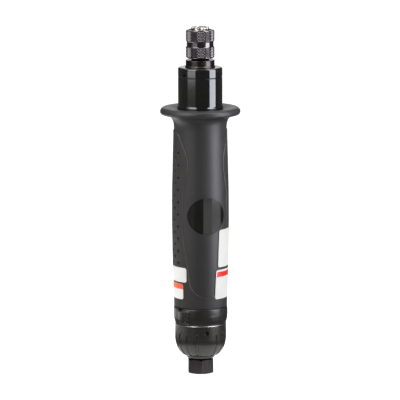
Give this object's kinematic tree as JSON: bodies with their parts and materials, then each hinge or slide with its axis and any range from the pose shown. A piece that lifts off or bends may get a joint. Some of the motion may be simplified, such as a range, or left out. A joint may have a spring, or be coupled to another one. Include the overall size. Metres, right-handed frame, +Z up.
{
  "type": "pneumatic in-line screwdriver",
  "caption": "Straight pneumatic screwdriver with a push-to-start spindle, reversing ring, soft-pad grip, thumb guard and quick-change hexagon chuck",
  "frame": {"origin": "centre of the inlet hexagon's end face, on which the tool stands", "axes": "+Z runs up the tool's axis from the air inlet to the chuck; the round badge faces -Y; +X is to the right of the badge as seen from the front"},
  "size_m": [0.0566, 0.0566, 0.2471],
  "materials": {
    "blackened_steel": "blackened, satin",
    "bright_steel": "ground bright",
    "tool_steel": "hardened and ground",
    "spring_steel": "oil-tempered spring wire",
    "sleeve_steel": "burnished dark, knurled",
    "nitrile_rubber": "moulded, satin",
    "anodised_cap": "dark anodised, satin",
    "bare_aluminium": "machined",
    "felt": "pressed felt",
    "seat_brass": "machined",
    "ring_plastic": "moulded, satin",
    "grip_plastic": "moulded, fine satin",
    "grip_rubber": "soft moulded, matt",
    "badge_plastic": "polished",
    "vane_resin": "resin-bonded fabric, cut",
    "black_enamel": "black, gloss"
  },
  "bodies": {
    "case": {"inlet_bushing": "blackened_steel", "inlet_screen": "bright_steel", "inlet_seal": "nitrile_rubber", "exhaust_cap": "anodised_cap", "cap_set_screw": "blackened_steel", "silencer": "felt", "valve_body": "bare_aluminium", "valve_seat": "seat_brass", "valve_spring": "bright_steel", "detent_ball": "bright_steel", "detent_spring": "bright_steel", "grip_shell": "grip_plastic", "grip_pads": "grip_rubber", "badge_plate": "badge_plastic", "motor_case": "bare_aluminium", "rear_end_plate": "bare_aluminium", "rear_bearing": "bright_steel", "cylinder": "tool_steel", "front_end_plate": "bare_aluminium", "front_bearing": "bright_steel", "ring_gear": "tool_steel", "carrier_bearing": "bright_steel", "bearing_circlip": "blackened_steel", "clutch_housing": "black_enamel", "nose_ring": "black_enamel", "front_bushing": "blackened_steel", "thrust_washer": "seat_brass"},
    "spindle": {"spindle": "bright_steel", "drive_cam": "tool_steel", "clutch_balls": "bright_steel", "driven_cam": "tool_steel", "spring_seat": "tool_steel", "clutch_spring": "spring_steel", "adjusting_nut": "tool_steel", "bit_ball": "bright_steel", "sleeve_rings": "bright_steel"},
    "sleeve": {"chuck_sleeve": "sleeve_steel", "sleeve_spring": "bright_steel"},
    "push": {"push_rod": "bright_steel", "throttle_valve": "seat_brass"},
    "reverse": {"reversing_ring": "ring_plastic", "reversing_pin": "bright_steel", "reversing_valve": "seat_brass"},
    "carrier_two": {"carrier_2": "tool_steel", "planet_pins_2": "bright_steel", "return_spring": "bright_steel"},
    "carrier_one": {"carrier_1": "tool_steel", "planet_pins_1": "bright_steel"},
    "motor_rotor": {"rotor": "tool_steel", "rotor_vanes": "vane_resin"},
    "gear_1a": {"planet_1a": "tool_steel"},
    "gear_2a": {"planet_2a": "tool_steel"},
    "gear_1b": {"planet_1b": "tool_steel"},
    "gear_2b": {"planet_2b": "tool_steel"},
    "gear_1c": {"planet_1c": "tool_steel"},
    "gear_2c": {"planet_2c": "tool_steel"}
  },
  "joints": [
    {"name": "reverse_turn", "type": "hinge", "parent": "case", "child": "reverse", "pos_m": [0, 0, 0.0425], "axis": [0, 0, 1], "range_deg": [0, 35]},
    {"name": "push_start", "type": "slide", "parent": "case", "child": "push", "axis": [0, 0, -1], "range_m": [0, 0.001], "stiffness_N_per_m": 3000, "springref_m": -0.002, "deforming": ["valve_spring", "return_spring"]},
    {"name": "spindle_spin", "type": "hinge", "parent": "push", "child": "spindle", "pos_m": [0, 0, 0.2], "axis": [0, 0, 1], "continuous": true},
    {"name": "sleeve_slide", "type": "slide", "parent": "spindle", "child": "sleeve", "axis": [0, 0, 1], "range_m": [0, 0.0025], "stiffness_N_per_m": 1500, "springref_m": -0.002, "deforming": ["sleeve_spring"]},
    {"name": "carrier_2_spin", "type": "hinge", "parent": "case", "child": "carrier_two", "pos_m": [0, 0, 0.14], "axis": [0, 0, 1], "continuous": true},
    {"name": "planet_2a_spin", "type": "hinge", "parent": "carrier_two", "child": "gear_2a", "pos_m": [0.00743, 0, 0.1274], "axis": [0, 0, 1], "continuous": true},
    {"name": "planet_2b_spin", "type": "hinge", "parent": "carrier_two", "child": "gear_2b", "pos_m": [-0.00371, 0.00643, 0.1274], "axis": [0, 0, 1], "continuous": true},
    {"name": "planet_2c_spin", "type": "hinge", "parent": "carrier_two", "child": "gear_2c", "pos_m": [-0.00371, -0.00643, 0.1274], "axis": [0, 0, 1], "continuous": true},
    {"name": "carrier_1_spin", "type": "hinge", "parent": "case", "child": "carrier_one", "pos_m": [0, 0, 0.125], "axis": [0, 0, 1], "continuous": true},
    {"name": "planet_1a_spin", "type": "hinge", "parent": "carrier_one", "child": "gear_1a", "pos_m": [0.00743, 0, 0.1158], "axis": [0, 0, 1], "continuous": true},
    {"name": "planet_1b_spin", "type": "hinge", "parent": "carrier_one", "child": "gear_1b", "pos_m": [-0.00371, 0.00643, 0.1158], "axis": [0, 0, 1], "continuous": true},
    {"name": "planet_1c_spin", "type": "hinge", "parent": "carrier_one", "child": "gear_1c", "pos_m": [-0.00371, -0.00643, 0.1158], "axis": [0, 0, 1], "continuous": true},
    {"name": "rotor_spin", "type": "hinge", "parent": "case", "child": "motor_rotor", "pos_m": [0, 0, 0.08], "axis": [0, 0, 1], "continuous": true}
  ],
  "couplings": [
    {"joint": "carrier_2_spin", "follows": "spindle_spin", "ratio": 1},
    {"joint": "planet_2a_spin", "follows": "spindle_spin", "ratio": -2.8},
    {"joint": "planet_2b_spin", "follows": "spindle_spin", "ratio": -2.8},
    {"joint": "planet_2c_spin", "follows": "spindle_spin", "ratio": -2.8},
    {"joint": "carrier_1_spin", "follows": "spindle_spin", "ratio": 4.5},
    {"joint": "planet_1a_spin", "follows": "spindle_spin", "ratio": -12.6},
    {"joint": "planet_1b_spin", "follows": "spindle_spin", "ratio": -12.6},
    {"joint": "planet_1c_spin", "follows": "spindle_spin", "ratio": -12.6},
    {"joint": "rotor_spin", "follows": "spindle_spin", "ratio": 20.25}
  ]
}
